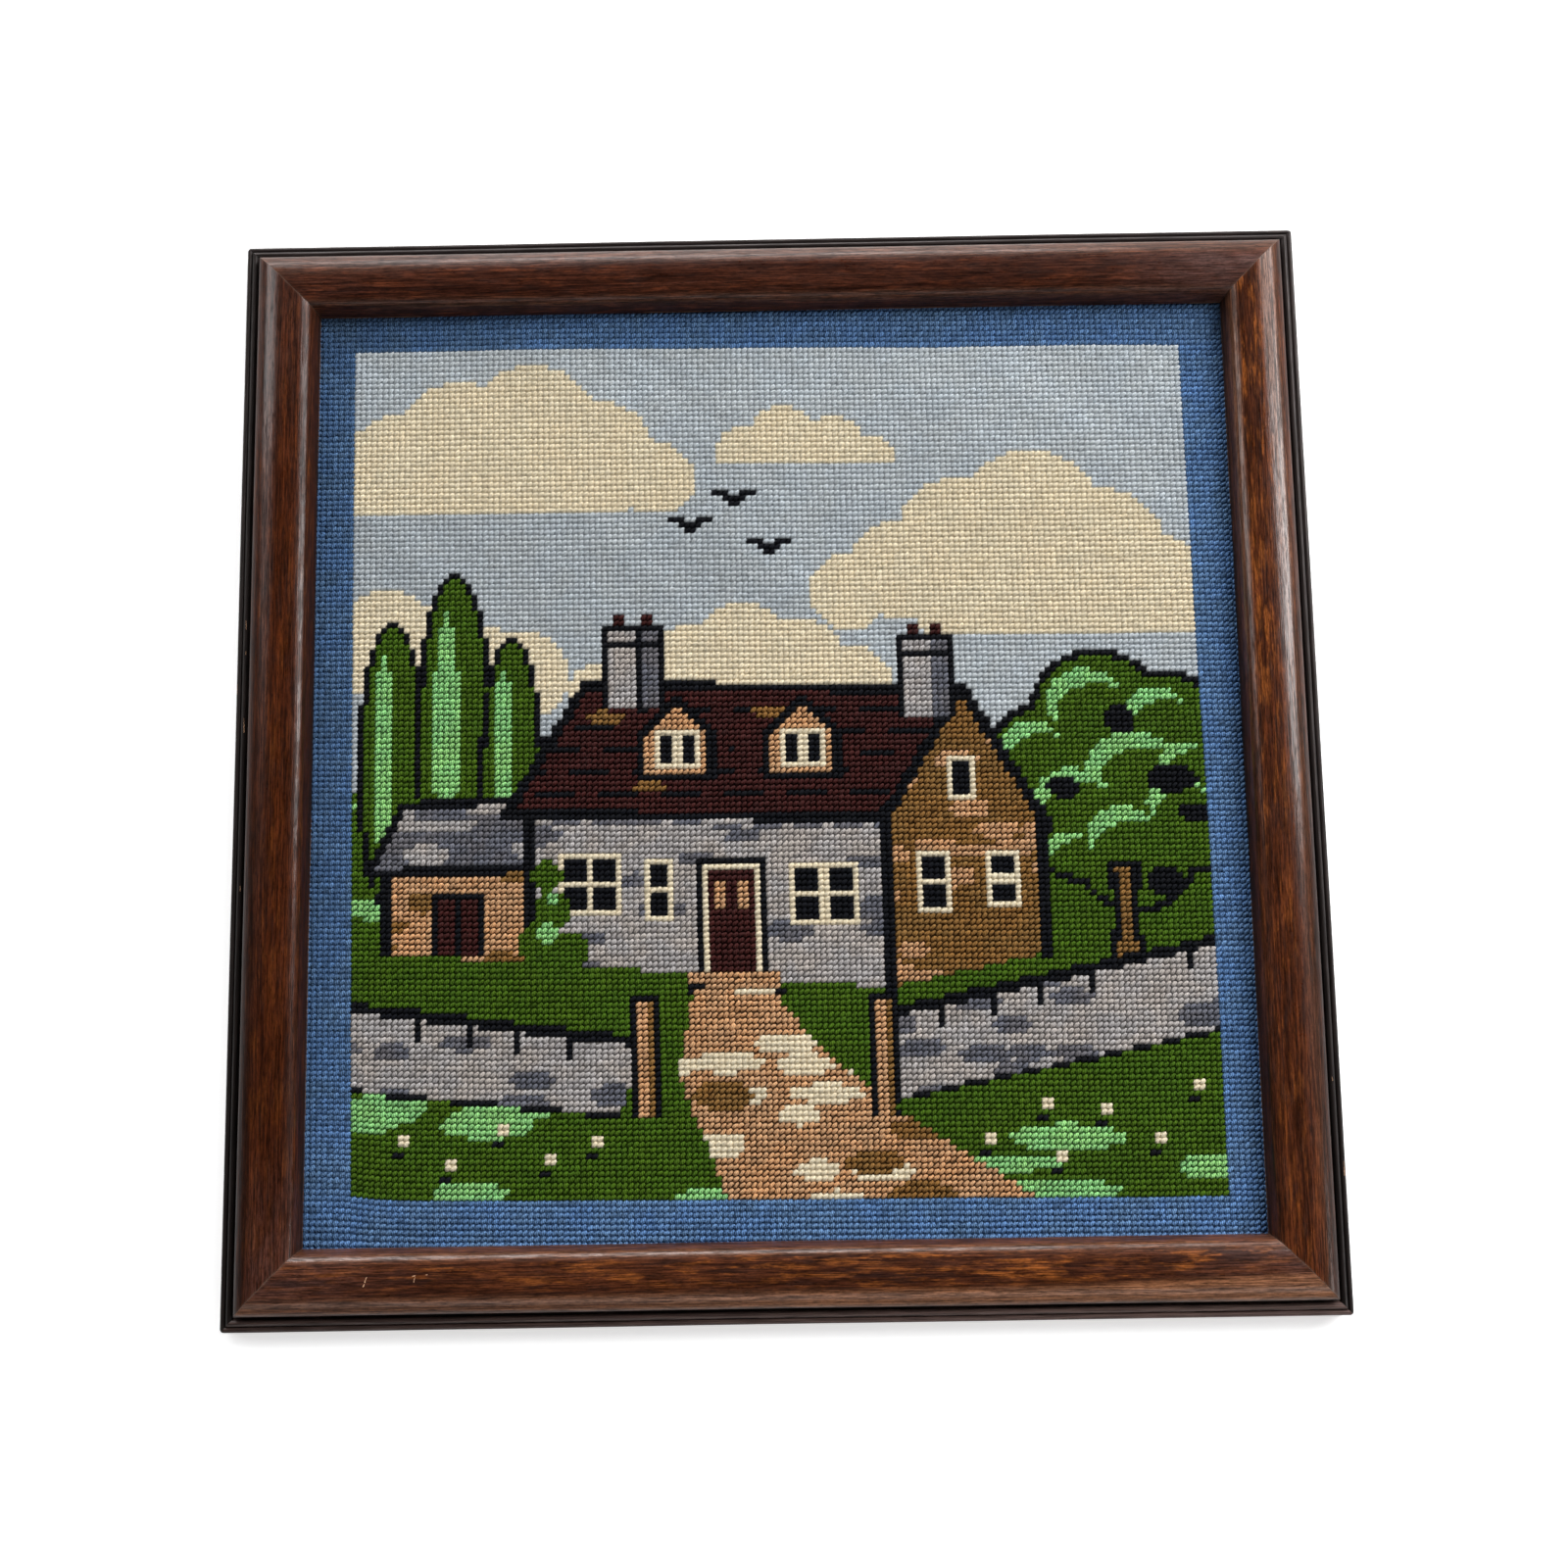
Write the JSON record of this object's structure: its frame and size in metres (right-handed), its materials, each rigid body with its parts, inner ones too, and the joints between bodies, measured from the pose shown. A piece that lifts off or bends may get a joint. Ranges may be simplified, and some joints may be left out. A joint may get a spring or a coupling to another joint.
{
  "type": "framed needlepoint",
  "caption": "Worked needlepoint panel held flat in the rebate of a mitred, moulded dark wood picture frame; it lies or stands as a wall or shelf picture.",
  "frame": {"origin": "middle of the back plane that the frame lies on", "axes": "+X to the picture's right, +Y to the picture's top, +Z out of the picture's face"},
  "size_m": [0.4064, 0.4104, 0.0187],
  "materials": {
    "frame_wood": "dark mahogany stain under a semi-gloss lacquer, rubbed and nicked on the edges",
    "needlepoint_wool": "matt wool tent stitch on canvas"
  },
  "bodies": {
    "root": {"rail_top": "frame_wood", "rail_left": "frame_wood", "rail_bottom": "frame_wood", "rail_right": "frame_wood", "needlepoint": "needlepoint_wool"}
  },
  "joints": []
}
